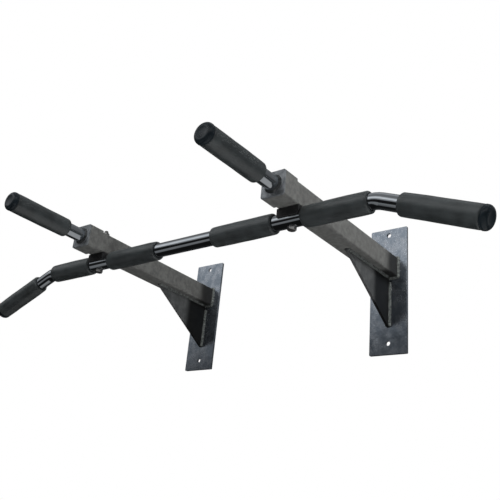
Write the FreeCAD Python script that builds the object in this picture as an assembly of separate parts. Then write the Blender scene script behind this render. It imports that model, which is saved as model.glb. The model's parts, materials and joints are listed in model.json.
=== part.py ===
"""Wall-mounted pull-up bar: two steel brackets carry one bent grip bar and two front handles.

Frame: millimetres. +X runs along the bar, +Z is up, the wall is the plane y = 0 and the bar
stands out from it towards -Y. The origin is the centre of the four wall holes.
"""
import FreeCAD, Part
import math
import os

from FreeCAD import Placement, Rotation, Vector

# ---------------------------------------------------------------- driving dimensions
bracket_spacing = 445.0          # between the centre lines of the two brackets
arm_reach = 376.0                # wall to the front face of an arm

plate_width = 73.0
plate_height = 243.0
plate_thickness = 5.0
plate_corner_radius = 2.0
wall_hole_diameter = 8.5
wall_hole_top_margin = 12.5      # hole centre below the plate's top edge
wall_hole_bottom_margin = 20.5   # hole centre above the plate's bottom edge
arm_axis_below_top = 80.5        # arm centre line below the plate's top edge

arm_size = 38.0                  # square tube, outside
arm_wall = 2.0
arm_corner_radius = 2.5
arm_bore_corner_radius = 0.5

gusset_thickness = 5.0
gusset_reach = 152.5             # along the arm, from the plate's front face
gusset_foot_above_hole = 29.5    # gusset's lower tip above the lower wall hole
gusset_nose = 2.5                # blunt width left at both tips
gusset_corner_clip = 7.0         # corner cut away where the gusset meets arm and plate

sleeve_length = 33.5             # collar pushed over the front of the arm
sleeve_wall = 2.4
sleeve_clearance = 0.15
sleeve_corner_radius = 3.2
end_plate_thickness = 3.0
end_plate_edge_round = 0.8

grip_tube_diameter = 25.4        # bar and front handles
grip_tube_wall = 2.0
bar_setback = 57.3               # bar centre line behind the arm's front face
bar_bend_angle = 21.5            # droop of the bar's ends, degrees
bar_bend_radius = 50.0           # on the tube's centre line

saddle_overhang = 1.0            # saddle past each side of the arm, along the bar
saddle_web = 4.0                 # between the bar and the arm
saddle_side_wall = 3.0
saddle_leg_above_axis = 1.5      # legs stop this far above the bar's centre line
saddle_clearance = 0.1
saddle_edge_round = 1.5

foam_diameter = 35.0
foam_clearance = 0.2             # radial, foam bore to tube
foam_edge_round = 2.5
foam_seat_gap = 0.3              # foam end to the piece next to it
inner_grip_length = 124.0
inner_grip_gap = 12.5            # bare tube between saddle and inner grip
outer_grip_length = 113.0
outer_grip_gap = 1.5             # bare tube between saddle and outer grip
outer_grip_to_bend = 0.4
end_grip_length = 120.0
bare_tube_after_bend = 30.4
handle_grip_length = 120.0
bare_handle_length = 38.0        # arm's front face to the handle grip

cap_thickness = 9.0              # rounded head of a tube plug
cap_edge_round = 7.0
cap_dish_diameter = 18.0
cap_dish_depth = 1.2
cap_plug_length = 18.0
cap_plug_wall = 2.0
cap_plug_clearance = 0.1

weld_leg = 4.0
weld_toe = 0.4                   # thickness left at a bead's thin edges
weld_end_inset = 1.0             # beads stop this far short of an edge
handle_weld_leg = 3.5

bolt_diameter = 8.0
bolt_hole_clearance = 0.3        # radial
bolt_head_flats = 13.0
bolt_head_height = 5.3
bolt_thread_show = 5.0           # thread standing out of the nut
bolt_end_chamfer = 0.8
hex_corner_chamfer = 0.6
washer_diameter = 16.0
washer_thickness = 1.6
washer_clearance = 0.2
nut_hex_height = 6.5
nut_collar_height = 1.5
nut_collar_diameter = 12.2
nut_bore_clearance = 0.1
lock_ring_diameter = 10.4
lock_ring_height = 2.0
lock_ring_clearance = 0.05

# ---------------------------------------------------------------- places worked out from them
hole_spacing_z = plate_height - wall_hole_top_margin - wall_hole_bottom_margin
plate_top_z = hole_spacing_z / 2 + wall_hole_top_margin
plate_bottom_z = plate_top_z - plate_height
upper_hole_z = hole_spacing_z / 2
lower_hole_z = -hole_spacing_z / 2
plate_front_y = -plate_thickness

arm_z = plate_top_z - arm_axis_below_top
arm_top_z = arm_z + arm_size / 2
arm_under_z = arm_z - arm_size / 2
arm_front_y = -arm_reach
end_plate_back_y = arm_front_y + end_plate_thickness

sleeve_bore = arm_size + 2 * sleeve_clearance
sleeve_size = sleeve_bore + 2 * sleeve_wall
sleeve_back_y = arm_front_y + sleeve_length

tube_radius = grip_tube_diameter / 2
tube_bore_radius = tube_radius - grip_tube_wall
foam_radius = foam_diameter / 2
foam_bore_radius = tube_radius + foam_clearance

bar_y = arm_front_y + bar_setback
bar_z = arm_under_z - saddle_web - tube_radius
bolt_radius = bolt_diameter / 2
bolt_hole_radius = bolt_radius + bolt_hole_clearance

gusset_foot_z = lower_hole_z + gusset_foot_above_hole
saddle_length = arm_size + 2 * saddle_overhang

# distances along the bar, from the middle of the object
saddle_inner_x = bracket_spacing / 2 - saddle_length / 2
saddle_outer_x = bracket_spacing / 2 + saddle_length / 2
inner_grip_end_x = saddle_inner_x - inner_grip_gap
inner_grip_start_x = inner_grip_end_x - inner_grip_length
outer_grip_start_x = saddle_outer_x + outer_grip_gap
outer_grip_end_x = outer_grip_start_x + outer_grip_length
bend_start_x = outer_grip_end_x + outer_grip_to_bend
bend_angle = math.radians(bar_bend_angle)
bend_end_x = bend_start_x + bar_bend_radius * math.sin(bend_angle)
bend_drop = bar_bend_radius * (1 - math.cos(bend_angle))
tube_end_run = bare_tube_after_bend + end_grip_length + foam_seat_gap

SIDES = {"left": -1, "right": 1}
SAME_PLACE = 1e-6                # two edges this near are at the same height


# ---------------------------------------------------------------- shape helpers
def box_between(x0, x1, y0, y1, z0, z1):
    """A block between two corners."""
    return Part.makeBox(x1 - x0, y1 - y0, z1 - z0, Vector(x0, y0, z0))


def quarter_turned(across, up, quarter_turns):
    """The point (across, up) turned about the origin by a number of right angles."""
    for _ in range(quarter_turns):
        across, up = -up, across
    return across, up


def rounded_square(size, radius, x, y, z):
    """A closed square outline with round corners, facing along Y, centred on (x, z)."""
    half = size / 2
    flat = half - radius
    middle = flat + radius * math.sqrt(0.5)
    edges = []
    for turns in range(4):
        points = []
        for across, up in ((half, -flat), (half, flat), (middle, middle), (flat, half)):
            turned_across, turned_up = quarter_turned(across, up, turns)
            points.append(Vector(x + turned_across, y, z + turned_up))
        edges.append(Part.makeLine(points[0], points[1]))
        edges.append(Part.Arc(points[1], points[2], points[3]).toShape())
    return Part.Wire(edges)


def square_bar(size, radius, x, z, y_front, y_back):
    """A solid square bar with round corners, running along Y."""
    outline = rounded_square(size, radius, x, y_front, z)
    return Part.Face(outline).extrude(Vector(0, y_back - y_front, 0))


def vertical_rod(radius, x, y, z_low, z_high):
    """A solid rod standing along Z."""
    return Part.makeCylinder(radius, z_high - z_low, Vector(x, y, z_low))


def ring_between(outer_radius, inner_radius, length):
    """A plain ring on the Z axis, from z = 0 upwards."""
    outer = Part.makeCylinder(outer_radius, length)
    bore = Part.makeCylinder(inner_radius, length)
    return outer.cut(bore)


def laid_along(shape, start, direction):
    """The shape, built on the Z axis, moved so that its axis leaves start along direction."""
    moved = shape.copy()
    moved.Placement = Placement(start, Rotation(Vector(0, 0, 1), direction))
    return moved


def hexagon(across_flats, height, x, y, z):
    """A hexagonal prism standing on z, with two flats facing the bar's length."""
    corner_radius = across_flats / math.sqrt(3)
    corners = []
    for step in range(7):
        angle = math.radians(60 * step + 30)
        corners.append(Vector(x + corner_radius * math.cos(angle), y + corner_radius * math.sin(angle), z))
    return Part.Face(Part.makePolygon(corners)).extrude(Vector(0, 0, height))


def fillet_bead(corner, along, leg_a, leg_b):
    """A weld bead of triangular section with blunt toes: corner is where two faces meet, along
    is the bead's length, and leg_a and leg_b are its legs, each lying on one of the faces."""
    toe_a = leg_a * (weld_toe / leg_a.Length)
    toe_b = leg_b * (weld_toe / leg_b.Length)
    tip_a = corner + leg_a
    tip_b = corner + leg_b
    outline = [corner, tip_a, tip_a + toe_b, tip_b + toe_a, tip_b, corner]
    return Part.Face(Part.makePolygon(outline)).extrude(along)


def closed_rims(shape, rim_z):
    """The shape's round edges at height rim_z."""
    return [edge for edge in shape.Edges if edge.Closed and abs(edge.CenterOfMass.z - rim_z) < SAME_PLACE]


def rounded_rim(shape, radius, rim_z):
    """The shape with its outermost round edge at height rim_z rounded."""
    outermost = max(closed_rims(shape, rim_z), key=lambda edge: edge.Length)
    return shape.makeFillet(radius, [outermost])


# ---------------------------------------------------------------- bracket
def wall_plate(x):
    """Flat plate with round corners and a hole near each end of its centre line."""
    plate = box_between(x - plate_width / 2, x + plate_width / 2, plate_front_y, 0,
                        plate_bottom_z, plate_top_z)
    corners = [edge for edge in plate.Edges if abs(edge.CenterOfMass.y + plate_thickness / 2) < SAME_PLACE]
    plate = plate.makeFillet(plate_corner_radius, corners)
    for hole_z in (upper_hole_z, lower_hole_z):
        hole = Part.makeCylinder(wall_hole_diameter / 2, plate_thickness,
                                 Vector(x, plate_front_y, hole_z), Vector(0, 1, 0))
        plate = plate.cut(hole)
    return plate


def arm_tube(x):
    """Square tube from the plate to the end plate, drilled through for the clamp bolt."""
    tube = square_bar(arm_size, arm_corner_radius, x, arm_z, end_plate_back_y, plate_front_y)
    bore_size = arm_size - 2 * arm_wall
    bore = square_bar(bore_size, arm_bore_corner_radius, x, arm_z, end_plate_back_y, plate_front_y)
    bolt_hole = vertical_rod(bolt_hole_radius, x, bar_y, arm_under_z, arm_top_z)
    return tube.cut(bore).cut(bolt_hole)


def gusset(x):
    """Triangular web under the arm, with blunt tips and its inner corner cut away."""
    front_y = plate_front_y - gusset_reach
    left_x = x - gusset_thickness / 2
    outline = [
        (plate_front_y - gusset_corner_clip, arm_under_z),
        (front_y, arm_under_z),
        (front_y, arm_under_z - gusset_nose),
        (plate_front_y - gusset_nose, gusset_foot_z),
        (plate_front_y, gusset_foot_z),
        (plate_front_y, arm_under_z - gusset_corner_clip),
    ]
    corners = [Vector(left_x, y, z) for y, z in outline + outline[:1]]
    return Part.Face(Part.makePolygon(corners)).extrude(Vector(gusset_thickness, 0, 0))


def arm_weld(x):
    """Bead that runs right round the arm where it meets the plate."""
    wide = rounded_square(arm_size + 2 * weld_leg, arm_corner_radius + weld_leg, x, plate_front_y, arm_z)
    shoulder_y = plate_front_y - weld_toe
    shoulder = rounded_square(arm_size + 2 * weld_leg, arm_corner_radius + weld_leg, x, shoulder_y, arm_z)
    tip_y = plate_front_y - weld_leg
    narrow = rounded_square(arm_size + 2 * weld_toe, arm_corner_radius + weld_toe, x, tip_y, arm_z)
    bead = Part.makeLoft([wide, shoulder, narrow], True, True)
    arm = square_bar(arm_size, arm_corner_radius, x, arm_z, tip_y - weld_leg, plate_front_y + weld_leg)
    return bead.cut(arm)


def gusset_wall_welds(x):
    """Two upright beads, one each side of the gusset, on the plate."""
    top_z = arm_under_z - gusset_corner_clip - weld_end_inset
    bottom_z = gusset_foot_z + weld_end_inset
    beads = []
    for side in (-1, 1):
        corner = Vector(x + side * gusset_thickness / 2, plate_front_y, bottom_z)
        beads.append(fillet_bead(corner, Vector(0, 0, top_z - bottom_z),
                                 Vector(side * weld_leg, 0, 0), Vector(0, -weld_leg, 0)))
    return Part.makeCompound(beads)


def gusset_arm_welds(x):
    """Two level beads, one each side of the gusset, under the arm."""
    back_y = plate_front_y - gusset_corner_clip - weld_end_inset
    front_y = plate_front_y - gusset_reach + weld_end_inset
    beads = []
    for side in (-1, 1):
        corner = Vector(x + side * gusset_thickness / 2, front_y, arm_under_z)
        beads.append(fillet_bead(corner, Vector(0, back_y - front_y, 0),
                                 Vector(side * weld_leg, 0, 0), Vector(0, 0, -weld_leg)))
    return Part.makeCompound(beads)


# ---------------------------------------------------------------- front of the arm
def front_sleeve(x):
    """Square collar over the front end of the arm."""
    collar = square_bar(sleeve_size, sleeve_corner_radius, x, arm_z, end_plate_back_y, sleeve_back_y)
    bore_radius = arm_corner_radius + sleeve_clearance
    bore = square_bar(sleeve_bore, bore_radius, x, arm_z, end_plate_back_y, sleeve_back_y)
    return collar.cut(bore)


def sleeve_end_plate(x):
    """Square plate that closes the sleeve and carries the handle."""
    plate = square_bar(sleeve_size, sleeve_corner_radius, x, arm_z, arm_front_y, end_plate_back_y)
    front_edges = [edge for edge in plate.Edges if abs(edge.CenterOfMass.y - arm_front_y) < SAME_PLACE]
    return plate.makeFillet(end_plate_edge_round, front_edges)


def handle_tube(x):
    """Straight round tube that stands out from the end plate."""
    length = bare_handle_length + handle_grip_length + foam_seat_gap
    tube = ring_between(tube_radius, tube_bore_radius, length)
    return laid_along(tube, Vector(x, arm_front_y, arm_z), Vector(0, -1, 0))


def handle_weld(x):
    """Bead round the foot of the handle tube, on the end plate."""
    toe_radius = tube_radius + weld_toe
    outer_radius = tube_radius + handle_weld_leg
    outline = [(tube_radius, 0), (outer_radius, 0), (outer_radius, weld_toe),
               (toe_radius, handle_weld_leg), (tube_radius, handle_weld_leg)]
    corners = [Vector(radius, 0, height) for radius, height in outline + outline[:1]]
    bead = Part.Face(Part.makePolygon(corners)).revolve(Vector(0, 0, 0), Vector(0, 0, 1), 360)
    return laid_along(bead, Vector(x, arm_front_y, arm_z), Vector(0, -1, 0))


# ---------------------------------------------------------------- bar
def bar_path():
    """Centre line of the bar: a level run, and a bend and a drooping run at each end."""
    sine, cosine = math.sin(bend_angle), math.cos(bend_angle)
    half_sine, half_cosine = math.sin(bend_angle / 2), math.cos(bend_angle / 2)
    points = {}
    for side in (-1, 1):
        bend_start = Vector(side * bend_start_x, bar_y, bar_z)
        bend_middle = bend_start + Vector(side * bar_bend_radius * half_sine, 0,
                                          -bar_bend_radius * (1 - half_cosine))
        bend_end = Vector(side * bend_end_x, bar_y, bar_z - bend_drop)
        tip = bend_end + Vector(side * cosine, 0, -sine) * tube_end_run
        points[side] = (bend_start, bend_middle, bend_end, tip)
    left_start, left_middle, left_end, left_tip = points[-1]
    right_start, right_middle, right_end, right_tip = points[1]
    return Part.Wire([
        Part.makeLine(left_tip, left_end),
        Part.Arc(left_end, left_middle, left_start).toShape(),
        Part.makeLine(left_start, right_start),
        Part.Arc(right_start, right_middle, right_end).toShape(),
        Part.makeLine(right_end, right_tip),
    ])


def main_bar():
    """Bent round tube, drilled through at each bracket for the clamp bolt."""
    path = bar_path()
    start = path.Edges[0].valueAt(path.Edges[0].FirstParameter)
    heading = path.Edges[0].tangentAt(path.Edges[0].FirstParameter)
    solids = []
    for radius in (tube_radius, tube_bore_radius):
        section = Part.Wire([Part.makeCircle(radius, start, heading)])
        solids.append(path.makePipeShell([section], True, True))
    bar = solids[0].cut(solids[1])
    for side in SIDES.values():
        hole = vertical_rod(bolt_hole_radius, side * bracket_spacing / 2, bar_y,
                            bar_z - grip_tube_diameter, bar_z + grip_tube_diameter)
        bar = bar.cut(hole)
    return bar


def bar_saddle(x):
    """Block between arm and bar, hollowed to sit over the bar's upper half."""
    half_width = tube_radius + saddle_side_wall
    block = box_between(x - saddle_length / 2, x + saddle_length / 2, bar_y - half_width,
                        bar_y + half_width, bar_z + saddle_leg_above_axis, arm_under_z)
    top_edges = [edge for edge in block.Edges if edge.CenterOfMass.z > arm_under_z - SAME_PLACE]
    long_edges = [edge for edge in top_edges if abs(edge.CenterOfMass.x - x) < SAME_PLACE]
    block = block.makeFillet(saddle_edge_round, long_edges)
    seat = Part.makeCylinder(tube_radius + saddle_clearance, saddle_length,
                             Vector(x - saddle_length / 2, bar_y, bar_z), Vector(1, 0, 0))
    bolt_hole = vertical_rod(bolt_hole_radius, x, bar_y, bar_z, arm_under_z)
    return block.cut(seat).cut(bolt_hole)


# ---------------------------------------------------------------- grips and caps
def foam_grip(length):
    """Foam sleeve on the Z axis, from z = 0 upwards, with soft outer edges."""
    grip = ring_between(foam_radius, foam_bore_radius, length)
    for rim_z in (0, length):
        grip = rounded_rim(grip, foam_edge_round, rim_z)
    return grip


def tube_cap():
    """End cap on the Z axis: a hollow plug below z = 0 and a round dished head above it."""
    head = Part.makeCylinder(foam_radius, cap_thickness)
    head = rounded_rim(head, cap_edge_round, cap_thickness)
    dish_radius = cap_dish_diameter / 2
    ball_radius = (dish_radius ** 2 + cap_dish_depth ** 2) / (2 * cap_dish_depth)
    ball_centre = Vector(0, 0, cap_thickness - cap_dish_depth + ball_radius)
    head = head.cut(Part.makeSphere(ball_radius, ball_centre))
    plug_radius = tube_bore_radius - cap_plug_clearance
    plug = ring_between(plug_radius, plug_radius - cap_plug_wall, cap_plug_length)
    plug.translate(Vector(0, 0, -cap_plug_length))
    return head.fuse(plug).removeSplitter()


def bar_end_place(side, run):
    """Point on the bar's drooping end, run past the bend, and the way that end points."""
    heading = Vector(side * math.cos(bend_angle), 0, -math.sin(bend_angle))
    bend_end = Vector(side * bend_end_x, bar_y, bar_z - bend_drop)
    return bend_end + heading * run, heading


def bar_grips(side):
    """The three grips on one half of the bar."""
    outward = Vector(side, 0, 0)
    inner_start = Vector(side * inner_grip_start_x, bar_y, bar_z)
    outer_start = Vector(side * outer_grip_start_x, bar_y, bar_z)
    end_start, end_heading = bar_end_place(side, bare_tube_after_bend)
    return {
        "bar_inner_grip": laid_along(foam_grip(inner_grip_length), inner_start, outward),
        "bar_outer_grip": laid_along(foam_grip(outer_grip_length), outer_start, outward),
        "bar_end_grip": laid_along(foam_grip(end_grip_length), end_start, end_heading),
    }


def bar_end_cap(side):
    """Cap in the end of the bar."""
    start, heading = bar_end_place(side, tube_end_run)
    return laid_along(tube_cap(), start, heading)


def handle_grip(x):
    """Foam grip on a front handle."""
    start = Vector(x, arm_front_y - bare_handle_length, arm_z)
    return laid_along(foam_grip(handle_grip_length), start, Vector(0, -1, 0))


def handle_cap(x):
    """Cap in the end of a front handle."""
    tip_y = arm_front_y - bare_handle_length - handle_grip_length - foam_seat_gap
    return laid_along(tube_cap(), Vector(x, tip_y, arm_z), Vector(0, -1, 0))


# ---------------------------------------------------------------- clamp fasteners
def bolt_head(x, y, z, height):
    """A hexagon with the corners of its lower face turned down."""
    prism = hexagon(bolt_head_flats, height, x, y, z)
    corner_radius = bolt_head_flats / math.sqrt(3)
    envelope = Part.makeCylinder(corner_radius, height)
    envelope = envelope.makeChamfer(hex_corner_chamfer, closed_rims(envelope, 0))
    envelope.translate(Vector(x, y, z))
    return prism.common(envelope)


def clamp_bolt(x):
    """Hexagon bolt, head under the bar and thread standing out above the nut."""
    head_top_z = bar_z - tube_radius
    tip_z = arm_top_z + washer_thickness + nut_hex_height + nut_collar_height + bolt_thread_show
    head = bolt_head(x, bar_y, head_top_z - bolt_head_height, bolt_head_height)
    shank_length = tip_z - head_top_z
    shank = Part.makeCylinder(bolt_radius, shank_length)
    shank = shank.makeChamfer(bolt_end_chamfer, closed_rims(shank, shank_length))
    shank.translate(Vector(x, bar_y, head_top_z))
    return head.fuse(shank)


def clamp_washer(x):
    """Flat washer on top of the arm."""
    washer = ring_between(washer_diameter / 2, bolt_radius + washer_clearance, washer_thickness)
    washer.translate(Vector(x, bar_y, arm_top_z))
    return washer


def clamp_nut(x):
    """Lock nut: a hexagon with a round collar that holds the lock ring."""
    seat_z = arm_top_z + washer_thickness
    hex_part = hexagon(bolt_head_flats, nut_hex_height, x, bar_y, seat_z)
    top_z = seat_z + nut_hex_height + nut_collar_height
    collar = vertical_rod(nut_collar_diameter / 2, x, bar_y, seat_z + nut_hex_height, top_z)
    bore = vertical_rod(bolt_radius + nut_bore_clearance, x, bar_y, seat_z, top_z)
    ring_seat = vertical_rod(lock_ring_diameter / 2, x, bar_y, top_z - lock_ring_height, top_z)
    return hex_part.fuse(collar).cut(bore).cut(ring_seat).removeSplitter()


def nut_lock_ring(x):
    """Nylon ring seated in the nut's collar."""
    ring = ring_between(lock_ring_diameter / 2 - lock_ring_clearance, bolt_radius + lock_ring_clearance,
                        lock_ring_height)
    top_z = arm_top_z + washer_thickness + nut_hex_height + nut_collar_height
    ring.translate(Vector(x, bar_y, top_z - lock_ring_height))
    return ring


# ---------------------------------------------------------------- the whole object
def build_nodes():
    """Every sub-part of the object, by name."""
    nodes = {"main_bar": main_bar()}
    bracket_parts = {
        "wall_plate": wall_plate,
        "arm_tube": arm_tube,
        "gusset": gusset,
        "arm_weld": arm_weld,
        "gusset_wall_welds": gusset_wall_welds,
        "gusset_arm_welds": gusset_arm_welds,
        "front_sleeve": front_sleeve,
        "sleeve_end_plate": sleeve_end_plate,
        "handle_tube": handle_tube,
        "handle_weld": handle_weld,
        "handle_grip": handle_grip,
        "handle_cap": handle_cap,
        "bar_saddle": bar_saddle,
    }
    for side_name, side in SIDES.items():
        x = side * bracket_spacing / 2
        for name, make in bracket_parts.items():
            nodes[f"{name}_{side_name}"] = make(x)
        for name, grip in bar_grips(side).items():
            nodes[f"{name}_{side_name}"] = grip
        nodes[f"bar_end_cap_{side_name}"] = bar_end_cap(side)
    fasteners = {
        "clamp_bolts": clamp_bolt,
        "clamp_washers": clamp_washer,
        "clamp_nuts": clamp_nut,
        "nut_lock_rings": nut_lock_ring,
    }
    for name, make in fasteners.items():
        nodes[name] = Part.makeCompound([make(side * bracket_spacing / 2) for side in SIDES.values()])
    return nodes


os.makedirs("parts", exist_ok=True)
for node_name, node_shape in build_nodes().items():
    if not node_shape.isValid():
        raise ValueError(f"{node_name} isn't a valid shape")
    node_shape.exportStep(f"parts/{node_name}.step")
    print(node_name, len(node_shape.Solids), "solids", round(node_shape.Volume, 1), "mm3")
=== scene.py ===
"""Wall-mounted pull-up bar: surfaces, finishes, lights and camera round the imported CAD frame.

Everything is in metres, in the CAD's own frame: +X along the bar, +Z up, the wall at y = 0 and
the bar in front of it, towards -Y.
"""
import json
import math

import bmesh
import bpy
import numpy as np
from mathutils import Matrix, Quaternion, Vector


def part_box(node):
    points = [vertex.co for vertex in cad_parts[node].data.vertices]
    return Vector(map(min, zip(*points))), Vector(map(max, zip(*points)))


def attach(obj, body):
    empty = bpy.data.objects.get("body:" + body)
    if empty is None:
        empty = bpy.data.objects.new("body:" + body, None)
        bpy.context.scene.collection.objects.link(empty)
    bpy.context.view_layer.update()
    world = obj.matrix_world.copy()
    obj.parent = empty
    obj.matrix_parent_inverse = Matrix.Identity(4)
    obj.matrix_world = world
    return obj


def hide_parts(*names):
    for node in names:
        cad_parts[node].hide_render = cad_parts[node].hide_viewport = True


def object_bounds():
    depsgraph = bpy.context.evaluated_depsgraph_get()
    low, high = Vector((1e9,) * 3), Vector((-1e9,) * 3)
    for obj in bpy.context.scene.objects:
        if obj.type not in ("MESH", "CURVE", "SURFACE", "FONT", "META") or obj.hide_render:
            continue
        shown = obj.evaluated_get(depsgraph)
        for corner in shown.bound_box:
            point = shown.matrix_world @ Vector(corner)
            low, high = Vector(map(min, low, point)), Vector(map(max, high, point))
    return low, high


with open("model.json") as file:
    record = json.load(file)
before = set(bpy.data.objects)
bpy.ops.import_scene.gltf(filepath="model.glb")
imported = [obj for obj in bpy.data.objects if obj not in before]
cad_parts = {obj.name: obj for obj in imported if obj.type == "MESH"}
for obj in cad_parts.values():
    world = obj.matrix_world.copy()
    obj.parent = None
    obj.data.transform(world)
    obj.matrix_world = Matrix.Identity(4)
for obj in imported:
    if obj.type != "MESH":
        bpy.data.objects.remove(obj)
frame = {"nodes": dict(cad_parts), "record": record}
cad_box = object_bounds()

MM = 0.001
SIDES = {"left": -1, "right": 1}
NODES = frame["nodes"]
SLOT_OF = {part["node"]: part["material_slot"] for part in frame["record"]["subparts"]}

X_AXIS = np.array((1.0, 0.0, 0.0))
Y_AXIS = np.array((0.0, 1.0, 0.0))
Z_AXIS = np.array((0.0, 0.0, 1.0))


# ---------------------------------------------------------------- places read from the frame
def node_box(node):
    """Lowest and highest corner of a CAD node, as arrays."""
    low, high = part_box(node)
    return np.array(low), np.array(high)


def level_axis(node, outward):
    """Start, direction and length of a round part that lies along a frame axis: outward is the
    way it points, so start is the end of its box on the other side."""
    low, high = node_box(node)
    length = float(np.abs((high - low) @ outward))
    return (low + high) / 2 - outward * length / 2, outward, length


def drooping_axis(node, side, edge_round):
    """Start, direction and length of a round grip that slopes down away from the middle. Less
    its edge rounding, half its box is l*cos(t) + r*sin(t) across and l*sin(t) + r*cos(t) up,
    where l is half its length, r its radius and t the slope; t is found by repeated substitution."""
    low, high = node_box(node)
    half_across, _, half_up = (high - low) / 2 - edge_round
    radius = (high - low)[1] / 2 - edge_round
    slope = math.atan2(half_up, half_across)
    for _ in range(40):
        run = half_across - radius * math.sin(slope)
        rise = half_up - radius * math.cos(slope)
        slope = math.atan2(rise, run)
    direction = np.array((side * math.cos(slope), 0.0, -math.sin(slope)))
    length = 2 * (math.hypot(run, rise) + edge_round)
    return (low + high) / 2 - direction * length / 2, direction, length


# ---------------------------------------------------------------- surfaces
def make_piece(name, grids, crease_degrees=38):
    """One mesh object from grids of points. A grid is (points, wrap_u, wrap_v), points being an
    array (u, v, 3); each cell is a face, and a wrapped side joins its last row to its first.
    Rows that meet in a point are merged, so poles and seams are closed, and faces turn outwards."""
    points, faces, count = [], [], 0
    for grid, wrap_u, wrap_v in grids:
        rows, columns = grid.shape[:2]
        index = np.arange(rows * columns).reshape(rows, columns) + count
        u = np.arange(rows if wrap_u else rows - 1)[:, None]
        v = np.arange(columns if wrap_v else columns - 1)[None, :]
        next_u, next_v = (u + 1) % rows, (v + 1) % columns
        cells = [index[u, v], index[next_u, v], index[next_u, next_v], index[u, next_v]]
        faces.append(np.stack(cells, axis=-1).reshape(-1, 4))
        points.append(grid.reshape(-1, 3))
        count += rows * columns
    mesh = bpy.data.meshes.new(name)
    mesh.from_pydata(np.concatenate(points).tolist(), [], np.concatenate(faces).tolist())
    work = bmesh.new()
    work.from_mesh(mesh)
    bmesh.ops.remove_doubles(work, verts=work.verts, dist=1e-6)
    bmesh.ops.recalc_face_normals(work, faces=work.faces)
    work.to_mesh(mesh)
    work.free()
    mesh.shade_smooth()
    mesh.set_sharp_from_angle(angle=math.radians(crease_degrees))
    piece = bpy.data.objects.new(name, mesh)
    bpy.context.scene.collection.objects.link(piece)
    return piece


def finish_piece(piece, slot, nodes, finish=None):
    """Gives a new piece its finish, its body and the CAD nodes that it stands for."""
    piece.data.materials.clear()
    piece.data.materials.append(FINISHES[finish or slot])
    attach(piece, "root")
    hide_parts(*nodes)
    return piece


def side_vectors(direction):
    """Two unit vectors square to a direction and to each other."""
    across = np.cross(direction, Z_AXIS)
    if np.linalg.norm(across) < 0.1:
        across = np.cross(direction, Y_AXIS)
    across = across / np.linalg.norm(across)
    return across, np.cross(across, direction)


def turned_grid(profile, start, direction, steps=96, swell=None):
    """A profile of (distance along, radius) turned about an axis: each point is
    start + direction * distance + radius * (cos(a) * across + sin(a) * up). swell(distance, a)
    is added to the radius where it is given."""
    across, up = side_vectors(direction)
    angle = np.linspace(0, 2 * np.pi, steps, endpoint=False)[:, None]
    along, radius = profile[None, :, 0], profile[None, :, 1]
    if swell is not None:
        radius = radius + swell(along, angle)
    radius = np.broadcast_to(radius, (steps, profile.shape[0]))
    ring = np.cos(angle)[..., None] * across + np.sin(angle)[..., None] * up
    return start + along[..., None] * direction + radius[..., None] * ring


def quarter(centre_along, centre_radius, size, from_degrees, to_degrees, steps=8):
    """Arc of a profile: centre plus size * (cos, sin) between two angles, 0 being along the axis
    and 90 away from it."""
    angle = np.radians(np.linspace(from_degrees, to_degrees, steps))
    return np.stack([centre_along + size * np.cos(angle), centre_radius + size * np.sin(angle)], axis=1)


def straight(start, end, steps):
    """Points of a straight line between two points, without the last."""
    share = np.linspace(0, 1, steps, endpoint=False)[:, None]
    return np.array(start) * (1 - share) + np.array(end) * share


def eased_copy(node, name, width, segments=2, crease_degrees=38):
    """The CAD node's own shape with its loose triangles merged, its flat faces made whole and its
    sharp edges rounded to width."""
    mesh = NODES[node].data.copy()
    mesh.name = name
    work = bmesh.new()
    work.from_mesh(mesh)
    bmesh.ops.remove_doubles(work, verts=work.verts, dist=2e-6)
    bmesh.ops.dissolve_limit(work, angle_limit=math.radians(0.5), verts=work.verts, edges=work.edges)
    sharp = [edge for edge in work.edges if edge.is_manifold and edge.calc_face_angle() > math.radians(crease_degrees)]
    bmesh.ops.bevel(work, geom=sharp, offset=width, offset_type="OFFSET", segments=segments,
                    profile=0.5, affect="EDGES", clamp_overlap=True)
    bmesh.ops.triangulate(work, faces=[face for face in work.faces if len(face.verts) > 4])
    work.to_mesh(mesh)
    work.free()
    mesh.shade_smooth()
    mesh.set_sharp_from_angle(angle=math.radians(crease_degrees))
    piece = bpy.data.objects.new(name, mesh)
    bpy.context.scene.collection.objects.link(piece)
    even = piece.modifiers.new("flat faces stay flat", "WEIGHTED_NORMAL")
    even.mode, even.keep_sharp = "FACE_AREA", True
    return piece


# ---------------------------------------------------------------- shader building blocks
def grey(value, warm=0.0):
    """A neutral colour, a little warm above 0 and cool below it."""
    return (value * (1 + warm), value, value * (1 - warm), 1)


def new_group(name, inputs, outputs):
    """A shader node group with its input and output nodes."""
    group = bpy.data.node_groups.new(name, "ShaderNodeTree")
    for label, kind, value in inputs:
        socket = group.interface.new_socket(label, in_out="INPUT", socket_type=kind)
        socket.default_value = value
    for label, kind in outputs:
        group.interface.new_socket(label, in_out="OUTPUT", socket_type=kind)
    return group, group.nodes.new("NodeGroupInput"), group.nodes.new("NodeGroupOutput")


def add(tree, kind, links=None, **settings):
    """A node with its settings, and its inputs filled by value or linked from a socket."""
    node = tree.nodes.new(kind)
    for key, value in settings.items():
        setattr(node, key, value)
    for key, value in (links or {}).items():
        socket = node.inputs[key]
        if isinstance(value, bpy.types.NodeSocket):
            tree.links.new(value, socket)
        else:
            socket.default_value = value
    return node


def maths(tree, operation, first, second=0.0, clamp=False):
    """Output of a Math node."""
    return add(tree, "ShaderNodeMath", {0: first, 1: second}, operation=operation, use_clamp=clamp).outputs[0]


def spread(tree, value, low, high, to_low=0.0, to_high=1.0):
    """Output of a smooth Map Range node."""
    links = {"Value": value, "From Min": low, "From Max": high, "To Min": to_low, "To Max": to_high}
    return add(tree, "ShaderNodeMapRange", links, interpolation_type="SMOOTHSTEP").outputs["Result"]


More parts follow.
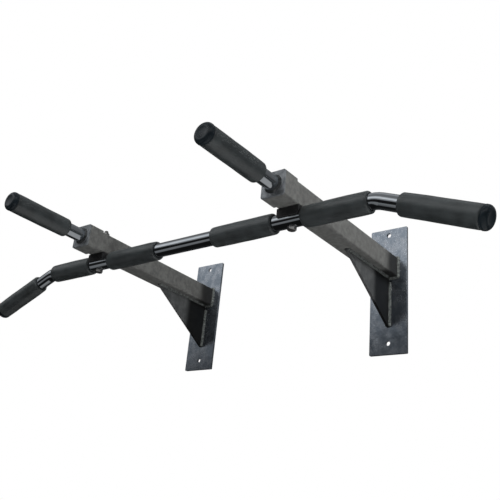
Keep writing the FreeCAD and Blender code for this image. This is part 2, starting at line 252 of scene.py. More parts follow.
def blended(tree, share, first, second):
    """Colour between two colours."""
    node = add(tree, "ShaderNodeMix", {0: share, 6: first, 7: second}, data_type="RGBA")
    return node.outputs[2]


def placed(tree, stretch=(1, 1, 1)):
    """Object coordinates, stretched."""
    where = tree.nodes.new("ShaderNodeTexCoord").outputs["Object"]
    return add(tree, "ShaderNodeMapping", {"Vector": where, "Scale": stretch}).outputs["Vector"]


def noise(tree, where, scale, detail=3.0, roughness=0.55):
    """Value of a Noise node."""
    links = {"Vector": where, "Scale": scale, "Detail": detail, "Roughness": roughness}
    return add(tree, "ShaderNodeTexNoise", links).outputs["Fac"]


def cells(tree, where, scale, feature="F1"):
    """Distance of a Voronoi node."""
    return add(tree, "ShaderNodeTexVoronoi", {"Vector": where, "Scale": scale}, feature=feature).outputs["Distance"]


def build_hammered_paint():
    """Stove paint with a beaten skin: soft cloudy patches, fine grain and shallow round dimples."""
    group, inputs, outputs = new_group(
        "hammered paint",
        [("Dark", "NodeSocketColor", grey(0.1)), ("Light", "NodeSocketColor", grey(0.2)),
         ("Patches", "NodeSocketFloat", 45.0), ("Dimples", "NodeSocketFloat", 420.0),
         ("Gloss", "NodeSocketFloat", 0.35), ("Streaks", "NodeSocketFloat", 0.3)],
        [("Color", "NodeSocketColor"), ("Roughness", "NodeSocketFloat"), ("Height", "NodeSocketFloat")])
    where = placed(group)
    cloud = noise(group, where, inputs.outputs["Patches"], 4.0, 0.6)
    upright = noise(group, placed(group, (1.0, 1.0, 0.28)), 150.0, 3.0, 0.6)
    grain = noise(group, where, 900.0, 2.0)
    dimple = cells(group, where, inputs.outputs["Dimples"], "SMOOTH_F1")
    streaked = maths(group, "MULTIPLY", spread(group, upright, 0.38, 0.7, -0.5, 0.5), inputs.outputs["Streaks"])
    patchy = maths(group, "ADD", spread(group, cloud, 0.32, 0.68), streaked)
    speckle = spread(group, grain, 0.3, 0.7, -0.14, 0.14)
    share = maths(group, "ADD", patchy, speckle, clamp=True)
    colour = blended(group, share, inputs.outputs["Dark"], inputs.outputs["Light"])
    group.links.new(colour, outputs.inputs["Color"])
    dulled = maths(group, "MULTIPLY_ADD", cloud, 0.28)
    dulled.node.inputs[2].default_value = -0.14
    group.links.new(maths(group, "ADD", inputs.outputs["Gloss"], dulled, clamp=True), outputs.inputs["Roughness"])
    beaten = maths(group, "ADD", spread(group, dimple, 0.05, 0.75), maths(group, "MULTIPLY", grain, 0.12))
    group.links.new(beaten, outputs.inputs["Height"])
    return group


def build_wear():
    """Handling marks: faint scuffs and settled dust as a mask, and fine scratches as a height."""
    group, inputs, outputs = new_group(
        "handling marks",
        [("Size", "NodeSocketFloat", 60.0), ("Amount", "NodeSocketFloat", 0.3)],
        [("Mask", "NodeSocketFloat"), ("Height", "NodeSocketFloat")])
    where = placed(group)
    scuff = noise(group, where, inputs.outputs["Size"], 6.0, 0.7)
    streaks = noise(group, placed(group, (0.25, 1.0, 2.4)), 700.0, 2.0, 0.5)
    marked = maths(group, "MULTIPLY", spread(group, scuff, 0.52, 0.72), spread(group, streaks, 0.4, 0.72))
    group.links.new(maths(group, "MULTIPLY", marked, inputs.outputs["Amount"]), outputs.inputs["Mask"])
    group.links.new(streaks, outputs.inputs["Height"])
    return group


def build_pitted_skin():
    """Closed-cell skin: small round pits between thin walls, and slow changes of tone."""
    group, inputs, outputs = new_group(
        "pitted skin",
        [("Dark", "NodeSocketColor", grey(0.02)), ("Light", "NodeSocketColor", grey(0.04)),
         ("Pits", "NodeSocketFloat", 900.0), ("Patches", "NodeSocketFloat", 60.0), ("Gloss", "NodeSocketFloat", 0.8)],
        [("Color", "NodeSocketColor"), ("Roughness", "NodeSocketFloat"), ("Height", "NodeSocketFloat")])
    where = placed(group)
    pit = cells(group, where, inputs.outputs["Pits"])
    small = noise(group, where, maths(group, "MULTIPLY", inputs.outputs["Pits"], 1.7), 2.0)
    cloud = noise(group, where, inputs.outputs["Patches"], 4.0, 0.6)
    wall = spread(group, pit, 0.1, 0.6)
    tone = maths(group, "ADD", maths(group, "MULTIPLY", wall, 0.45), spread(group, cloud, 0.3, 0.7, -0.1, 0.6), clamp=True)
    group.links.new(blended(group, tone, inputs.outputs["Dark"], inputs.outputs["Light"]), outputs.inputs["Color"])
    group.links.new(maths(group, "ADD", inputs.outputs["Gloss"], spread(group, cloud, 0.3, 0.7, -0.05, 0.08)), outputs.inputs["Roughness"])
    group.links.new(maths(group, "ADD", wall, maths(group, "MULTIPLY", small, 0.6)), outputs.inputs["Height"])
    return group


HAMMERED = build_hammered_paint()
WEAR = build_wear()
PITTED = build_pitted_skin()


def new_finish(name, **constants):
    """A material with a Principled shader, and its constant values set on the shader's sockets."""
    material = bpy.data.materials.new(name)
    material.use_nodes = True
    tree = material.node_tree
    tree.nodes.clear()
    output = tree.nodes.new("ShaderNodeOutputMaterial")
    shader = tree.nodes.new("ShaderNodeBsdfPrincipled")
    tree.links.new(shader.outputs["BSDF"], output.inputs["Surface"])
    for label, value in constants.items():
        shader.inputs[label.replace("_", " ")].default_value = value
    return material, tree, shader


def raise_skin(tree, shader, height, distance, strength=1.0):
    """Joins a height to the shader's normal through a Bump node."""
    bump = add(tree, "ShaderNodeBump", {"Height": height, "Distance": distance, "Strength": strength})
    tree.links.new(bump.outputs["Normal"], shader.inputs["Normal"])


def painted_in_shade(tree, colour, axis, low, high, strongest):
    """Colour painted darker by up to strongest, smoothly from low to high along one frame axis, as
    painted shade towards the wall or a lower edge. Low may be the larger."""
    where = tree.nodes.new("ShaderNodeTexCoord").outputs["Object"]
    along = add(tree, "ShaderNodeSeparateXYZ", {"Vector": where}).outputs[axis]
    uneven = maths(tree, "MULTIPLY_ADD", noise(tree, where, 60.0), abs(high - low) * 0.5)
    tree.links.new(along, uneven.node.inputs[2])
    if low < high:
        share = spread(tree, uneven, low, high, 0.0, strongest)
    else:
        share = spread(tree, uneven, high, low, strongest, 0.0)
    return blended(tree, share, colour, grey(0.0))


def painted(name, dark, light, patches, dimples, gloss, streaks, depth, scuff, scuff_colour, painted_shade_span=None, **constants):
    """Hammered paint with handling marks, and painted shade, darker along one axis, where its span is given."""
    material, tree, shader = new_finish(name, **constants)
    paint = add(tree, "ShaderNodeGroup", node_tree=HAMMERED)
    for label, value in (("Dark", dark), ("Light", light), ("Patches", patches), ("Dimples", dimples),
                         ("Gloss", gloss), ("Streaks", streaks)):
        paint.inputs[label].default_value = value
    wear = add(tree, "ShaderNodeGroup", node_tree=WEAR)
    wear.inputs["Size"].default_value = 70.0
    wear.inputs["Amount"].default_value = scuff
    colour = blended(tree, wear.outputs["Mask"], paint.outputs["Color"], scuff_colour)
    # painted shade: the colour darkens along one frame axis
    if painted_shade_span:
        colour = painted_in_shade(tree, colour, *painted_shade_span)
    tree.links.new(colour, shader.inputs["Base Color"])
    tree.links.new(maths(tree, "ADD", paint.outputs["Roughness"], maths(tree, "MULTIPLY", wear.outputs["Mask"], 0.3)),
                   shader.inputs["Roughness"])
    raise_skin(tree, shader, paint.outputs["Height"], depth)
    return material


def skinned(name, dark, light, pits, patches, gloss, depth, **constants):
    """Pitted foam or moulded rubber."""
    material, tree, shader = new_finish(name, **constants)
    skin = add(tree, "ShaderNodeGroup", node_tree=PITTED)
    for label, value in (("Dark", dark), ("Light", light), ("Pits", pits), ("Patches", patches), ("Gloss", gloss)):
        skin.inputs[label].default_value = value
    tree.links.new(skin.outputs["Color"], shader.inputs["Base Color"])
    tree.links.new(skin.outputs["Roughness"], shader.inputs["Roughness"])
    raise_skin(tree, shader, skin.outputs["Height"], depth)
    return material


def plated(name, dark, light, gloss, scuff, **constants):
    """Plated metal: tone and gloss drift a little, with fine handling marks."""
    material, tree, shader = new_finish(name, Metallic=1.0, **constants)
    wear = add(tree, "ShaderNodeGroup", node_tree=WEAR)
    wear.inputs["Size"].default_value = 90.0
    wear.inputs["Amount"].default_value = scuff
    drift = noise(tree, placed(tree), 35.0, 3.0)
    tree.links.new(blended(tree, spread(tree, drift, 0.3, 0.7), dark, light), shader.inputs["Base Color"])
    dulled = maths(tree, "ADD", spread(tree, drift, 0.3, 0.7, gloss, gloss * 1.6), maths(tree, "MULTIPLY", wear.outputs["Mask"], 0.25))
    tree.links.new(dulled, shader.inputs["Roughness"])
    raise_skin(tree, shader, wear.outputs["Height"], 0.000004, 0.5)
    return material


FINISHES = {
    # painted shade: the plates darken towards their lower part
    "bracket_paint": painted("blue-grey hammered paint", (0.265, 0.305, 0.355, 1), (0.44, 0.475, 0.525, 1), 70.0, 330.0, 0.24, 0.4,
                             0.00005, 0.12, (0.5, 0.52, 0.55, 1), ("Z", 0.09, -0.12, 0.64), Metallic=0.93),
    # painted shade: the webs get a darker copy of the plates' paint, darkening further towards the wall
    "webs_in_painted_shade": painted("plate paint darkened as painted shade on the webs", (0.042, 0.044, 0.045, 1), (0.074, 0.077, 0.078, 1), 60.0, 420.0, 0.34, 0.2,
                         0.00006, 0.2, (0.12, 0.12, 0.12, 1), ("Y", -0.068, -0.048, 0.92), Metallic=0.1,
                         Specular_IOR_Level=0.25),
    # painted shade: the arms darken towards the wall
    "arm_paint": painted("warm grey satin paint", (0.084, 0.085, 0.082, 1), (0.135, 0.137, 0.132, 1), 120.0, 520.0, 0.46, 0.05,
                         0.00007, 0.22, (0.24, 0.24, 0.23, 1), ("Y", -0.052, -0.026, 0.85), Metallic=0.25),
    "end_plate_paint": painted("light grey satin paint", (0.085, 0.093, 0.1, 1), (0.18, 0.192, 0.204, 1), 90.0, 420.0, 0.42, 0.1,
                               0.00008, 0.3, (0.4, 0.41, 0.42, 1), Metallic=0.45),
    "weld_paint": painted("painted weld bead", (0.045, 0.05, 0.048, 1), (0.17, 0.182, 0.176, 1), 260.0, 800.0, 0.34, 0.0,
                          0.0001, 0.3, (0.35, 0.36, 0.35, 1), Metallic=0.5),
    "handle_weld_paint": painted("dark painted weld bead", (0.012, 0.014, 0.015, 1), (0.04, 0.043, 0.045, 1), 260.0, 800.0, 0.34, 0.0,
                                 0.0001, 0.2, (0.2, 0.2, 0.2, 1), Metallic=0.3),
    "chrome": plated("bright chrome plate", grey(0.54, -0.06), grey(0.62, -0.05), 0.05, 0.25),
    "zinc_steel": plated("bright zinc plate", grey(0.28, 0.0), grey(0.45, 0.02), 0.24, 0.6),
    "grip_foam": skinned("closed-cell grip foam", (0.0115, 0.0135, 0.014, 1), (0.027, 0.032, 0.0335, 1), 1100.0, 55.0, 0.33, 0.0001,
                         Specular_IOR_Level=0.95),
    "cap_plastic": skinned("glossy moulded plastic", (0.004, 0.006, 0.008, 1), (0.008, 0.012, 0.015, 1), 2400.0, 80.0, 0.3, 0.000004,
                           Coat_Weight=0.2, Coat_Roughness=0.06, Specular_IOR_Level=0.22),
    "saddle_rubber": skinned("matt moulded nylon", (0.007, 0.007, 0.008, 1), (0.016, 0.016, 0.017, 1), 1600.0, 70.0, 0.6, 0.00006,
                             Specular_IOR_Level=0.3),
    "nylon": skinned("natural nylon", (0.55, 0.55, 0.5, 1), (0.72, 0.72, 0.67, 1), 1600.0, 60.0, 0.5, 0.00003),
}


# ---------------------------------------------------------------- foam grips
FOAM_ROUND = 2.5 * MM          # edge rounding of the CAD grips
FOAM_SINK = 0.02 * MM          # skin left inside the CAD's radius
FOAM_CLEARANCE = 0.2 * MM      # foam bore to tube


def foam_profile(length, outer, bore):
    """Closed outline of a foam sleeve: bore, soft lip and a level outside with a full edge at each
    end. The outside stays at outer here; the grip's swell pulls it in at its ends."""
    edge = 3.2 * MM
    lip = 0.8 * MM
    parts = [
        straight((length - lip, bore), (lip, bore), 24),
        quarter(lip, bore + lip, lip, 270, 180, 5),
        straight((0, bore + lip), (0, outer - edge), 4)[1:],
        quarter(edge, outer - edge, edge, 180, 90, 12),
        straight((edge, outer), (length - edge, outer), 90)[1:],
        quarter(length - edge, outer - edge, edge, 90, 0, 12),
        straight((length, outer - edge), (length, bore + lip), 4)[1:],
        quarter(length - lip, bore + lip, lip, 0, -90, 5),
    ]
    return np.concatenate(parts)


def foam_grip(node, name, start, direction, length, outer, seed):
    """Foam sleeve turned about its tube. Its skin rises and falls by slow sums of sines in the
    angle and the length, and dips a little where hands have pressed it."""
    phase = np.random.default_rng(seed).uniform(0, 2 * np.pi, 8)

    def swell(along, angle):
        share = along / length
        slow = (np.sin(2 * angle + 5.0 * share + phase[0]) + np.sin(3 * angle - 7.0 * share + phase[1])
                + 0.8 * np.sin(11.0 * share + angle + phase[2]) + 0.5 * np.sin(5 * angle + 19.0 * share + phase[3]))
        fine = np.sin(14 * angle + 60 * share + phase[4]) * np.sin(83 * share - 5 * angle + phase[5])
        ends = 0.35 * MM * np.abs(2 * share - 1) ** 6
        return outside * (0.09 * MM * slow + 0.03 * MM * fine - 0.08 * MM - ends)

    profile = foam_profile(length, outer - FOAM_SINK, outer - 4.6 * MM)
    outside = np.clip((profile[None, :, 1] - (outer - 4.6 * MM)) / (3.5 * MM), 0, 1)
    piece = make_piece(name, [(turned_grid(profile, start, direction, 120, swell), True, True)], 50)
    return finish_piece(piece, "grip_foam", [node])


def build_grips():
    """The eight foam grips, each on the axis that its own box gives."""
    seed = 11
    for side_name, side in SIDES.items():
        outward = X_AXIS * side
        for node, axis in (
            (f"bar_inner_grip_{side_name}", level_axis(f"bar_inner_grip_{side_name}", outward)),
            (f"bar_outer_grip_{side_name}", level_axis(f"bar_outer_grip_{side_name}", outward)),
            (f"bar_end_grip_{side_name}", drooping_axis(f"bar_end_grip_{side_name}", side, FOAM_ROUND)),
            (f"handle_grip_{side_name}", level_axis(f"handle_grip_{side_name}", -Y_AXIS)),
        ):
            outer = np.ptp(np.array(node_box(node))[:, 1 if "bar" in node else 0]) / 2
            foam_grip(node, node.replace("grip", "foam"), *axis, outer, seed)
            seed += 1


# ---------------------------------------------------------------- caps
CAP_HEAD = 9.0 * MM
CAP_PLUG = 18.0 * MM
CAP_PLUG_RADIUS = 10.6 * MM
CAP_PLUG_WALL = 2.0 * MM


def cap_profile(outer):
    """Outline of a tube plug from the middle of its face to the middle of its hollow: a shallow
    dish with a soft lip, a wide rounded shoulder, a small bead at the foot and the plug."""
    shoulder = 6.9 * MM
    rim = outer - shoulder
    face = CAP_HEAD - 0.1 * MM
    foot = 1.5 * MM
    dish = 1.25 * MM
    share = np.linspace(0, 1, 20)
    bowl = np.stack([face - dish + dish * share ** 2.2, share * (rim - 1.0 * MM)], axis=1)
    parts = [
        bowl,
        quarter(face - shoulder + 0.05 * MM, rim, shoulder - 0.05 * MM, 3, 84, 22),
        np.array([(foot + 0.25 * MM, outer - 0.32 * MM), (foot, outer - 0.5 * MM), (foot - 0.25 * MM, outer - 0.3 * MM),
                  (foot - 0.5 * MM, outer - 0.04 * MM), (0.45 * MM, outer), (0.15 * MM, outer - 0.12 * MM),
                  (0.02 * MM, outer - 0.45 * MM)]),
        np.array([(0.02 * MM, CAP_PLUG_RADIUS + 0.4 * MM), (-0.2 * MM, CAP_PLUG_RADIUS), (-CAP_PLUG + 1.0 * MM, CAP_PLUG_RADIUS),
                  (-CAP_PLUG, CAP_PLUG_RADIUS - 0.6 * MM), (-CAP_PLUG, CAP_PLUG_RADIUS - CAP_PLUG_WALL),
                  (0.0, CAP_PLUG_RADIUS - CAP_PLUG_WALL), (0.0, 0.0)]),
    ]
    return np.concatenate(parts)


def build_caps():
    """Plugs in the two ends of the bar and in the two handles."""
    for side_name, side in SIDES.items():
        node = f"handle_cap_{side_name}"
        low, high = node_box(node)
        outer = (high - low)[0] / 2
        middle = (low + high) / 2
        start = np.array((middle[0], low[1] + CAP_HEAD, middle[2]))
        grid = turned_grid(cap_profile(outer), start, -Y_AXIS, 96)
        finish_piece(make_piece(f"handle_plug_{side_name}", [(grid, True, False)], 40), "cap_plastic", [node])

        node = f"bar_end_cap_{side_name}"
        grip_start, direction, length = drooping_axis(f"bar_end_grip_{side_name}", side, FOAM_ROUND)
        start = grip_start + direction * (length + 0.3 * MM)
        grid = turned_grid(cap_profile(outer), start, direction, 96)
        finish_piece(make_piece(f"bar_end_plug_{side_name}", [(grid, True, False)], 40), "cap_plastic", [node])


# ---------------------------------------------------------------- weld beads
def weld_bead(foot, leg_a, leg_b, closed, pitch=3.1 * MM, ripple=0.15, seed=3):
    """Fillet bead along a foot line. Across it, a point is foot + a * leg_a + b * leg_b, going
    straight from one toe to the other with a bulge of sin(pi * t); along it, crescents of one
    pitch swell the bulge, lagging at the toes, and the legs wander a little."""
    phase = np.random.default_rng(seed).uniform(0, 2 * np.pi, 4)
    steps = np.linalg.norm(np.diff(foot, axis=0), axis=1)
    along = np.concatenate([[0.0], np.cumsum(steps)])
    total = along[-1] + (np.linalg.norm(foot[-1] - foot[0]) if closed else 0.0)
    pitch = total / round(total / pitch)
    t = np.linspace(0, 1, 11)[None, :]
    turn = 2 * np.pi * along[:, None] / total
    lag = along[:, None] / pitch + 0.42 * np.sin(np.pi * t)
    crescent = np.abs(np.sin(np.pi * lag)) ** 0.7
    wander = 1 + 0.05 * np.sin(round(total / pitch / 2.7) * turn + phase[0]) + 0.04 * np.sin(round(total / pitch / 1.6) * turn + phase[1])
    bulge = (0.1 + ripple * crescent) * np.sin(np.pi * t)
    size = np.clip(wander * (0.86 + 0.08 * crescent[:, :1]), 0.2, 0.98)
    if not closed:
        ends = np.clip(np.minimum(along, total - along)[:, None] / (2.2 * MM), 0, 1)
        size = size * np.sqrt(np.clip(1 - (1 - ends) ** 2, 0.0, 1.0))
    a = size * ((1 - t) + 0.45 * bulge)
    b = size * (t + 0.45 * bulge)
    root = np.zeros_like(a[:, :1])
    a, b = np.concatenate([a, root], axis=1), np.concatenate([b, root], axis=1)
    points = foot[:, None, :] + a[..., None] * leg_a[:, None, :] + b[..., None] * leg_b[:, None, :]
    return points, closed, True


def rounded_square_path(size, radius, spacing):
    """Points round a square with round corners, evenly spaced, with the outward normal at each:
    four straight sides joined by quarter circles."""
    flat = size / 2 - radius
    side_steps = int(round(2 * flat / spacing))
    run = np.linspace(-flat, flat, side_steps)
    bend = np.radians(np.linspace(0, 90, 8)[1:-1])
    side_points = np.stack([np.full_like(run, size / 2), run], axis=1)
    side_normals = np.tile((1.0, 0.0), (side_steps, 1))
    bend_normals = np.stack([np.cos(bend), np.sin(bend)], axis=1)
    points = np.concatenate([side_points, flat + radius * bend_normals])
    normals = np.concatenate([side_normals, bend_normals])
    turns = [np.array(((c, s), (-s, c))) for c, s in ((1, 0), (0, 1), (-1, 0), (0, -1))]
    return np.concatenate([points @ m for m in turns]), np.concatenate([normals @ m for m in turns])


def in_wall_plane(flat, y):
    """Points (x, z) set at a distance y from the wall."""
    return np.stack([flat[:, 0], np.full(len(flat), y), flat[:, 1]], axis=1)


def build_welds():
    """Beads round the arm and the handle, and each side of the gusset."""
    for number, (side_name, side) in enumerate(SIDES.items()):
        arm_low, arm_high = node_box(f"arm_tube_{side_name}")
        arm_middle = (arm_low + arm_high) / 2
        plate_front = node_box(f"wall_plate_{side_name}")[0][1]

        low, high = node_box(f"arm_weld_{side_name}")
        leg = plate_front - low[1]
        outline, outward = rounded_square_path(arm_high[0] - arm_low[0], 2.5 * MM, 0.42 * MM)
        foot = in_wall_plane(outline, 0.0) + np.array((arm_middle[0], plate_front, arm_middle[2]))
        leg_a = in_wall_plane(outward, 0.0) * leg
        leg_b = np.tile(-Y_AXIS * leg, (len(foot), 1))
        piece = make_piece(f"arm_bead_{side_name}", [weld_bead(foot, leg_a, leg_b, True, seed=5 + number)], 60)
        finish_piece(piece, "weld_paint", [f"arm_weld_{side_name}"])

        end_low = node_box(f"sleeve_end_plate_{side_name}")[0]
        tube_low, tube_high = node_box(f"handle_tube_{side_name}")
        low, high = node_box(f"handle_weld_{side_name}")
        tube_radius = (tube_high[0] - tube_low[0]) / 2
        leg = end_low[1] - low[1]
        angle = np.linspace(0, 2 * np.pi, 190, endpoint=False)
        ring = np.stack([np.cos(angle), np.sin(angle)], axis=1)
        centre = (tube_low + tube_high) / 2
        foot = in_wall_plane(ring * tube_radius, 0.0) + np.array((centre[0], end_low[1], centre[2]))
        leg_a = in_wall_plane(ring, 0.0) * leg
        leg_b = np.tile(-Y_AXIS * leg, (len(foot), 1))
        piece = make_piece(f"handle_bead_{side_name}", [weld_bead(foot, leg_a, leg_b, True, 2.6 * MM, seed=15 + number)], 60)
        finish_piece(piece, "weld_paint", [f"handle_weld_{side_name}"], finish="handle_weld_paint")

        web_low, web_high = node_box(f"gusset_{side_name}")
        upright_low, upright_high = node_box(f"gusset_wall_welds_{side_name}")
        level_low, level_high = node_box(f"gusset_arm_welds_{side_name}")
        upright, level = [], []
        for way, face in ((-1, web_low[0]), (1, web_high[0])):
            height = np.linspace(upright_low[2], upright_high[2], 210)
            foot = np.stack([np.full_like(height, face), np.full_like(height, plate_front), height], axis=1)
            leg = plate_front - upright_low[1]
            leg_a, leg_b = np.tile(X_AXIS * way * leg, (210, 1)), np.tile(-Y_AXIS * leg, (210, 1))
            upright.append(weld_bead(foot, leg_a, leg_b, False, seed=30 + way + 5 * number))
            depth = np.linspace(level_low[1], level_high[1], 330)
            foot = np.stack([np.full_like(depth, face), depth, np.full_like(depth, level_high[2])], axis=1)
            leg_a, leg_b = np.tile(X_AXIS * way * leg, (330, 1)), np.tile(-Z_AXIS * leg, (330, 1))
            level.append(weld_bead(foot, leg_a, leg_b, False, seed=40 + way + 5 * number))
        finish_piece(make_piece(f"gusset_wall_beads_{side_name}", upright, 60), "weld_paint", [f"gusset_wall_welds_{side_name}"])
        finish_piece(make_piece(f"gusset_arm_beads_{side_name}", level, 60), "weld_paint", [f"gusset_arm_welds_{side_name}"])


# ---------------------------------------------------------------- clamp bolts
THREAD_PITCH = 1.25 * MM
THREAD_DEPTH = 0.62 * MM
THREAD_RUN = 24.0 * MM
HEAD_HEIGHT = 5.3 * MM
HEAD_FLATS = 13.0 * MM


def threaded_bolt(x, y, head_low, tip):
    """Hexagon bolt standing on its head, as rows of a closed skin from the middle of the head's
    lower face to the middle of its tip. The head's radius is flats / 2 / cos(angle from the nearest
    flat), its corners turned down on a 30 degree cone, and the thread's radius is
    shank - depth * |2 * frac(z / pitch - angle / 2 pi) - 1|."""
    steps = 96
    angle = np.linspace(0, 2 * np.pi, steps, endpoint=False)
    hexagon = HEAD_FLATS / 2 / np.cos(np.mod(angle + np.pi / 6, np.pi / 3) - np.pi / 6)
    turned_face = HEAD_FLATS / 2 * 0.95
    cone = np.maximum(hexagon - turned_face, 0) * math.tan(math.radians(30))
    head_top = head_low + HEAD_HEIGHT
    shank = 3.95 * MM
    flat = np.ones(steps)
    rows = [(head_low * flat, 0 * flat), (head_low * flat, turned_face * 0.6 * flat), (head_low * flat, turned_face * 0.985 * flat),
            (head_low + 0.12 * MM + cone, hexagon), (head_top - 0.25 * MM + 0 * flat, hexagon),
            (head_top * flat, hexagon * 0.985), (head_top * flat, shank * flat)]
    thread_start = tip - THREAD_RUN
    rows += [(thread_start * flat, shank * flat)]
    for z in np.arange(thread_start, tip - 0.7 * MM, THREAD_PITCH / 10):
        phase = np.mod((z - thread_start) / THREAD_PITCH - angle / (2 * np.pi), 1.0)
        fade = min(1.0, (z - thread_start) / (2 * THREAD_PITCH))
        rows.append((z * flat, shank - fade * THREAD_DEPTH * np.clip(1.25 * np.abs(2 * phase - 1) - 0.12, 0, 1)))
    end_radius = shank - 0.75 * MM
    rows += [((tip - 0.62 * MM) * flat, (end_radius + 0.1 * MM) * flat), ((tip - 0.05 * MM) * flat, (end_radius - 0.25 * MM) * flat),
             (tip * flat, (end_radius - 0.45 * MM) * flat), (tip * flat, 0 * flat)]
    height, radius = np.array([r[0] for r in rows]).T, np.array([r[1] for r in rows]).T
    points = np.stack([x + radius * np.cos(angle)[:, None], y + radius * np.sin(angle)[:, None], height], axis=-1)
    return points, True, False


def build_bolts():
    """The two clamp bolts, as one piece."""
    low, high = node_box("clamp_bolts")
    middle = (low + high) / 2
    spacing = (high - low)[0] - HEAD_FLATS
    grids = [threaded_bolt(middle[0] + side * spacing / 2, middle[1], low[2], high[2]) for side in SIDES.values()]
    finish_piece(make_piece("clamp_bolts_threaded", grids, 34), "zinc_steel", ["clamp_bolts"])


# ---------------------------------------------------------------- steel plates and tubes
def build_steel():
    """Flame-cut and folded steel with its cut edges eased."""
    for side_name in SIDES:
        for node, name, width, finish in (
            (f"wall_plate_{side_name}", f"plate_{side_name}", 0.5 * MM, None),
            # the webs take the darker paint that carries painted shade
            (f"gusset_{side_name}", f"web_{side_name}", 0.5 * MM, "webs_in_painted_shade"),
            (f"front_sleeve_{side_name}", f"collar_{side_name}", 0.5 * MM, None),
            (f"bar_saddle_{side_name}", f"saddle_{side_name}", 0.5 * MM, None),
        ):
            finish_piece(eased_copy(node, name, width), SLOT_OF[node], [node], finish=finish)


build_grips()
build_caps()
build_welds()
build_bolts()
build_steel()

for node, shown in NODES.items():
    if not shown.hide_render:
        for place in shown.material_slots:
            place.material = FINISHES[SLOT_OF[node]]


# ---------------------------------------------------------------- studio
def build_floor(low, size=24.0):
    """Plain pale floor well below the object. Near the object it is lit and holds its shadow;
    further out it gives way to the white of the background, so that no edge shows."""
    half = size / 2
    mesh = bpy.data.meshes.new("floor")
    mesh.from_pydata([(-half, -half, low), (half, -half, low), (half, half, low), (-half, half, low)], [], [(0, 1, 2, 3)])
    floor = bpy.data.objects.new("floor", mesh)
    bpy.context.scene.collection.objects.link(floor)
    material, tree, shader = new_finish("pale floor", Roughness=0.9, Specular_IOR_Level=0.1)
    where = tree.nodes.new("ShaderNodeTexCoord").outputs["Object"]
    flat = add(tree, "ShaderNodeVectorMath", {0: where, 1: (1, 1, 0)}, operation="MULTIPLY").outputs[0]
    reach = add(tree, "ShaderNodeVectorMath", {0: flat}, operation="LENGTH").outputs["Value"]
    far = spread(tree, reach, 1.5, 9.0)
    tree.links.new(blended(tree, far, grey(0.86), grey(0.0)), shader.inputs["Base Color"])
    seen = tree.nodes.new("ShaderNodeLightPath").outputs["Is Camera Ray"]
    shader.inputs["Emission Color"].default_value = grey(1.0)
    tree.links.new(maths(tree, "MULTIPLY", seen, spread(tree, reach, 1.5, 9.0, 0.42, 1.0)), shader.inputs["Emission Strength"])
    floor.data.materials.append(material)
    floor.visible_glossy = False


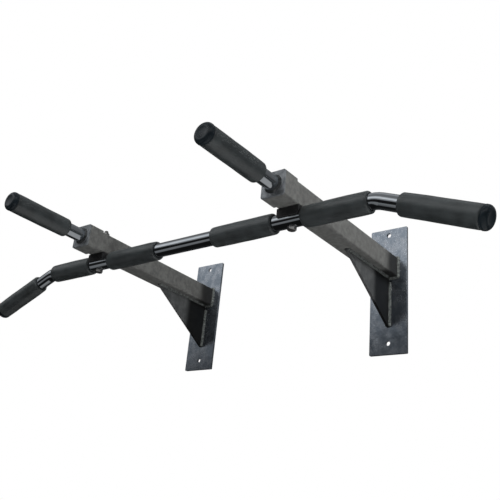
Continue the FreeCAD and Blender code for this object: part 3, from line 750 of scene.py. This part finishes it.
def build_surroundings():
    """White behind the object. Metal and gloss see a small photo tent: a bright front wall with a
    dark line at eye level and a dim floor below it, a darker back with a pale floor to its right,
    and an open left end; soft light falls from everywhere."""
    world = bpy.data.worlds.new("studio")
    bpy.context.scene.world = world
    world.use_nodes = True
    tree = world.node_tree
    tree.nodes.clear()
    output = tree.nodes.new("ShaderNodeOutputWorld")
    way = tree.nodes.new("ShaderNodeTexCoord").outputs["Generated"]
    parts = add(tree, "ShaderNodeSeparateXYZ", {"Vector": way}).outputs
    height = maths(tree, "MULTIPLY_ADD", parts["Z"], 0.5)
    height.node.inputs[2].default_value = 0.5

    def bands(stops):
        ramp = add(tree, "ShaderNodeValToRGB", {"Fac": height})
        ramp.color_ramp.interpolation = "EASE"
        while len(ramp.color_ramp.elements) < len(stops):
            ramp.color_ramp.elements.new(0.5)
        for element, (z, tone) in zip(ramp.color_ramp.elements, stops):
            element.position = z * 0.5 + 0.5
            element.color = grey(tone, -0.02)
        return ramp.outputs["Color"]

    front = bands([(-0.69, 0.008), (-0.6, 0.2), (-0.37, 0.22), (-0.3, 0.01), (0.08, 0.012), (0.19, 0.3), (0.31, 0.4), (0.43, 0.9), (0.58, 0.72), (0.76, 0.2)])
    back = bands([(-0.7, 0.008), (-0.3, 0.03), (0.0, 0.06), (0.3, 0.14), (0.6, 0.15), (0.76, 0.16), (1.0, 0.4)])
    low_right = maths(tree, "MULTIPLY", spread(tree, parts["X"], -0.45, -0.2), spread(tree, parts["Z"], -0.5, -0.36, 1.0, 0.0))
    back = blended(tree, low_right, back, grey(0.42))
    reflected = blended(tree, spread(tree, parts["Y"], -0.2, -0.05), front, back)
    reflected = blended(tree, spread(tree, parts["X"], -0.86, -0.74, 0.6, 0.0), reflected, grey(0.0))
    rays = tree.nodes.new("ShaderNodeLightPath").outputs
    seen = blended(tree, rays["Is Glossy Ray"], grey(0.17), reflected)
    plain = maths(tree, "MAXIMUM", rays["Is Camera Ray"], rays["Is Transmission Ray"])
    colour = blended(tree, plain, seen, grey(1.0))
    background = add(tree, "ShaderNodeBackground", {"Color": colour, "Strength": 1.0})
    tree.links.new(background.outputs["Background"], output.inputs["Surface"])


def soft_lamp(name, place, aim, width, height, power, glossy=True):
    """Rectangular soft light that points at aim."""
    data = bpy.data.lights.new(name, "AREA")
    data.shape = "RECTANGLE"
    data.size, data.size_y, data.energy = width, height, power
    lamp = bpy.data.objects.new(name, data)
    bpy.context.scene.collection.objects.link(lamp)
    lamp.location = place
    lamp.rotation_mode = "QUATERNION"
    lamp.rotation_quaternion = (Vector(aim) - Vector(place)).to_track_quat("-Z", "Y")
    lamp.visible_camera = False
    lamp.visible_glossy = glossy


def build_camera():
    """Camera below the bar and off its right end, looking up, a little tilted."""
    data = bpy.data.cameras.new("camera")
    data.sensor_width = 36.0
    data.lens = 51.29
    data.shift_x, data.shift_y = 0.090, -0.060
    data.clip_start, data.clip_end = 0.01, 50.0
    camera = bpy.data.objects.new("camera", data)
    bpy.context.scene.collection.objects.link(camera)
    camera.location = (0.8060, -1.1304, -0.4760)
    camera.rotation_mode = "QUATERNION"
    heading = Vector((-0.6238, 0.6595, 0.4195)).to_track_quat("-Z", "Y")
    camera.rotation_quaternion = heading @ Quaternion((0, 0, 1), math.radians(7.493))
    bpy.context.scene.camera = camera


centre = (cad_box[0] + cad_box[1]) / 2
build_floor(-2.2)
build_surroundings()
soft_lamp("front left softbox", (-0.8, -2.1, 1.9), centre, 2.0, 1.3, 84, glossy=False)
soft_lamp("right fill", (0.8, -0.1, 0.38), (0.25, -0.22, 0.0), 0.4, 0.4, 6.2, glossy=False)
soft_lamp("overhead strip", (0.2, -0.8, 1.7), centre, 2.0, 0.8, 24, glossy=False)
soft_lamp("floor bounce", (0.75, -0.75, -0.95), (0.3, -0.4, 0.0), 0.8, 0.8, 9.5, glossy=False)
soft_lamp("left fill", (-1.25, -0.05, 0.35), (-0.25, -0.2, 0.0), 0.8, 0.8, 9, glossy=False)
soft_lamp("back fill", (-0.6, 1.5, 0.7), centre, 1.6, 1.2, 20, glossy=False)
build_camera()
bpy.context.scene.view_settings.view_transform = "Standard"
